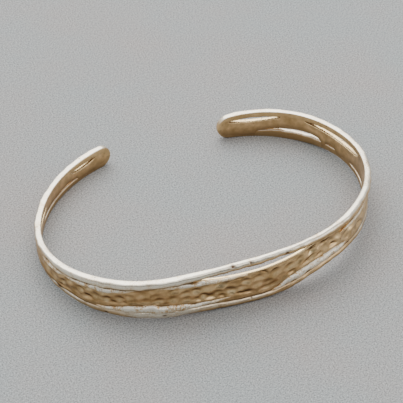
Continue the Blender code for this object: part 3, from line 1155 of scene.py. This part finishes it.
# The dark colours paint tarnish and shade, and the bright ones wear and highlights.
SMOOTH_GOLD = SatinGold(
    name="smooth_gold", light=(0.82, 0.56, 0.28), deep=(0.57, 0.37, 0.17),
    dark=(0.12, 0.06, 0.03), bright=(0.98, 0.91, 0.76), blotches=420,
    roughness=0.27, tarnish_and_shade=1.0, wear_and_sheen_amount=1.15, patchiness=1.6, bump=0.35,
)
HAMMERED_GOLD = SatinGold(
    name="hammered_gold", light=(0.86, 0.57, 0.29), deep=(0.5, 0.31, 0.13),
    dark=(0.1, 0.05, 0.02), bright=(1.0, 0.78, 0.44), blotches=620,
    roughness=0.25, tarnish_and_shade=1.15, wear_and_sheen_amount=1.2, patchiness=1.6, bump=0.6,
)
CAST_GOLD = SatinGold(
    name="cast_gold", light=(0.95, 0.74, 0.45), deep=(0.68, 0.45, 0.22),
    dark=(0.12, 0.06, 0.03), bright=(1.0, 0.95, 0.82), blotches=800,
    roughness=0.44, tarnish_and_shade=1.1, wear_and_sheen_amount=1.4, patchiness=4.0, bump=1.0,
)


@dataclass(frozen=True)
class PalePaper:
    """The table's finish: soft patches of cool and warm grey under a fine grain."""

    name: str = "pale_paper"
    cool: Triple = (0.335, 0.358, 0.363)
    warm: Triple = (0.365, 0.347, 0.338)
    grain_scale: float = 3800.0
    grain_contrast: float = 2.4
    patch_scale: float = 26.0
    patch_from: float = 0.4
    patch_gain: float = 4.0
    roughness: float = 0.85
    bump: float = 0.35
    relief: float = 0.08 * MM

    def make(self) -> bpy.types.Material:
        """Builds the material."""
        material, graph, shader = new_material(self.name)
        grain = graph.noise(self.grain_scale, 2.0)
        patch = graph.math("SUBTRACT", graph.noise(self.patch_scale, 6.0, 0.65), self.patch_from)
        patch = graph.math("MULTIPLY", patch, self.patch_gain, clamp=True)
        strong = graph.math("MULTIPLY", graph.math("SUBTRACT", grain, 0.5), self.grain_contrast)
        fleck = graph.node("ShaderNodeVectorMath", operation="SCALE")
        graph.feed(fleck.inputs[0], graph.mix(patch, self.cool, self.warm))
        graph.feed(fleck.inputs["Scale"], graph.math("ADD", strong, 1.0))
        graph.feed(shader.inputs["Base Color"], fleck.outputs[0])
        graph.feed(shader.inputs["Roughness"], self.roughness)
        graph.bump(shader.inputs["Normal"], grain, self.bump, self.relief)
        return material


@dataclass(frozen=True)
class Lamp:
    """A soft round lamp, or a pale card, that faces the cuff."""

    name: str
    toward: Triple
    size: float
    power: float
    distance: float = 0.6
    colour: Triple = (1.0, 0.985, 0.96)

    def hang(self) -> None:
        """Hangs the lamp."""
        way = Vector(self.toward).normalized()
        data = bpy.data.lights.new(self.name, "AREA")
        data.shape = "DISK"
        data.size = self.size
        data.energy = self.power
        data.color = self.colour
        light = bpy.data.objects.new(self.name, data)
        bpy.context.scene.collection.objects.link(light)
        light.location = way * self.distance
        light.rotation_euler = way.to_track_quat("Z", "Y").to_euler()


@dataclass
class Studio:
    """The pale table, the soft light and the camera."""

    target: Triple = (1.52 * MM, 5.62 * MM, -0.02 * MM)
    azimuth: float = -20.34
    elevation: float = 39.97
    distance: float = 394.72 * MM
    focal_px: float = 2200.0
    image_px: float = 403.0
    sensor: float = 36.0
    clip: Pair = (0.01, 50.0)
    table_size: float = 6.0
    lamps: tuple[Lamp, ...] = (
        Lamp("window", (0.1, 0.62, 0.78), size=0.74, power=3.7),
        Lamp("card_1", (0.1, -0.62, 0.72), size=0.4, power=0.42),
        Lamp("card_2", (0.82, -0.5, 0.28), size=0.4, power=0.65),
    )
    bright_side: Triple = (-0.02, 0.52, 0.85)
    room: Rows = ((0.2, 0.05), (0.45, 0.16), (0.6, 0.72), (0.8, 0.85), (0.98, 1.5))

    def camera(self) -> None:
        """Places the camera at the photograph's view."""
        a, e = math.radians(self.azimuth), math.radians(self.elevation)
        back = Vector((math.sin(a) * math.cos(e), -math.cos(a) * math.cos(e), math.sin(e)))
        right = Vector((math.cos(a), math.sin(a), 0.0))
        turn = Matrix((right, back.cross(right), back)).transposed().to_4x4()
        data = bpy.data.cameras.new("view")
        data.sensor_width = self.sensor
        data.lens = self.focal_px / self.image_px * self.sensor
        data.clip_start, data.clip_end = self.clip
        camera = bpy.data.objects.new("view", data)
        bpy.context.scene.collection.objects.link(camera)
        place = Vector(self.target) + back * self.distance
        camera.matrix_world = Matrix.Translation(place) @ turn
        bpy.context.scene.camera = camera

    def table(self) -> None:
        """Lays the pale, fine-grained table."""
        bpy.ops.mesh.primitive_plane_add(size=self.table_size)
        table = bpy.context.object
        table.name = "table"
        table.data.materials.append(PalePaper().make())

    def surroundings(self) -> None:
        """Sets a room that is bright at the back and above."""
        world = bpy.data.worlds.new("room")
        bpy.context.scene.world = world
        world.use_nodes = True
        graph = Graph(world.node_tree)
        dot = graph.node("ShaderNodeVectorMath", operation="DOT_PRODUCT")
        dot.inputs[1].default_value = Vector(self.bright_side).normalized()
        graph.feed(dot.inputs[0], graph.node("ShaderNodeTexCoord").outputs["Generated"])
        ramp = graph.node("ShaderNodeValToRGB")
        colours = ramp.color_ramp
        colours.interpolation = "EASE"
        while len(colours.elements) < len(self.room):
            colours.elements.new(0.5)
        for element, (at, level) in zip(colours.elements, self.room):
            element.position = at
            element.color = (level, level, level, 1.0)
        share = graph.math("MULTIPLY_ADD", dot.outputs["Value"], 0.5, 0.5)
        background = world.node_tree.nodes["Background"]
        graph.feed(ramp.inputs["Fac"], share)
        graph.feed(background.inputs["Color"], ramp.outputs["Color"])
        graph.feed(background.inputs["Strength"], 1.0)

    def build(self) -> None:
        """Sets up the whole stage."""
        self.camera()
        self.table()
        for lamp in self.lamps:
            lamp.hang()
        self.surroundings()


RUNS = (
    Run("lower_left_wire", (
        (-28.0, 1.6, 0.1), (-26.5, 1.75, 0.28), (-24.5, 1.95, 0.44), (-22.5, 2.25, 0.62),
        (-20.0, 2.45, 0.78), (-17.0, 2.3, 0.8), (-14.0, 2.08, 0.7), (-11.5, 1.98, 0.5),
        (-9.0, 1.95, 0.34), (-6.5, 2.1, 0.24), (-4.3, 2.25, 0.08),
    ), creased=True),
    Run("front_right_wire", (
        (2.6, 1.15, 0.1), (4.5, 1.82, 0.44), (6.1, 2.38, 0.62), (9.1, 3.12, 0.72),
        (12.3, 3.6, 0.72), (15.0, 3.74, 0.66), (17.7, 3.64, 0.48), (19.6, 3.48, 0.12),
    ), creased=True),
    Run("left_flake_wire", (
        (-42.0, 3.75, 0.08), (-40.5, 4.05, 0.26), (-39.0, 4.25, 0.34), (-37.5, 4.4, 0.36),
        (-36.0, 4.6, 0.28), (-34.8, 4.8, 0.1),
    )),
    Run("upper_left_wire", (
        (-35.0, 4.9, 0.08), (-33.5, 5.08, 0.28), (-32.0, 5.25, 0.3), (-29.8, 5.5, 0.4),
        (-28.0, 5.72, 0.52), (-25.5, 5.86, 0.52), (-24.4, 5.96, 0.42), (-22.5, 6.2, 0.24),
        (-21.0, 6.5, 0.08),
    ), proud=0.22),
    Run("slit_lip_wire", (
        (-17.5, 6.95, 0.08), (-15.5, 6.85, 0.28), (-13.0, 6.7, 0.38), (-10.0, 6.52, 0.38),
        (-7.0, 6.38, 0.32), (-4.0, 6.3, 0.24), (-1.5, 6.3, 0.08),
    )),
    Run("upper_right_wire", (
        (17.5, 6.6, 0.06), (19.0, 6.65, 0.22), (22.0, 6.6, 0.3), (25.0, 6.45, 0.28),
        (28.0, 6.2, 0.06),
    )),
)


@dataclass
class Cuff:
    """The whole bracelet: edge wire, hammered band and raised wires."""

    strip: Strip
    runs: tuple[Run, ...] = RUNS

    def build(self) -> None:
        """Builds every piece flat, bends them all, and dresses them."""
        strip = self.strip
        smooth, hammered, cast = SMOOTH_GOLD.make(), HAMMERED_GOLD.make(), CAST_GOLD.make()
        band = HammeredBand(strip, tuple(run.rows for run in self.runs if run.creased))
        made = [(EdgeWire(strip).build(), smooth), (band.build(), hammered)]
        made += [(RaisedWire(strip, run).build(), cast) for run in self.runs]
        Former(strip.line).bend([piece for piece, _ in made])
        for piece, material in made:
            piece.data.materials.append(material)
            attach(piece, "root")
            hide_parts("cuff")
            triangles = sum(len(face.vertices) - 2 for face in piece.data.polygons)
            log.info("%s: %d triangles", piece.name, triangles)


def main() -> None:
    """Loads the frame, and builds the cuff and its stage."""
    logging.basicConfig(level=logging.INFO, format="%(name)s: %(message)s")
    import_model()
    Studio().build()
    Cuff(Strip(BendLine())).build()


if __name__ == "__main__":
    main()
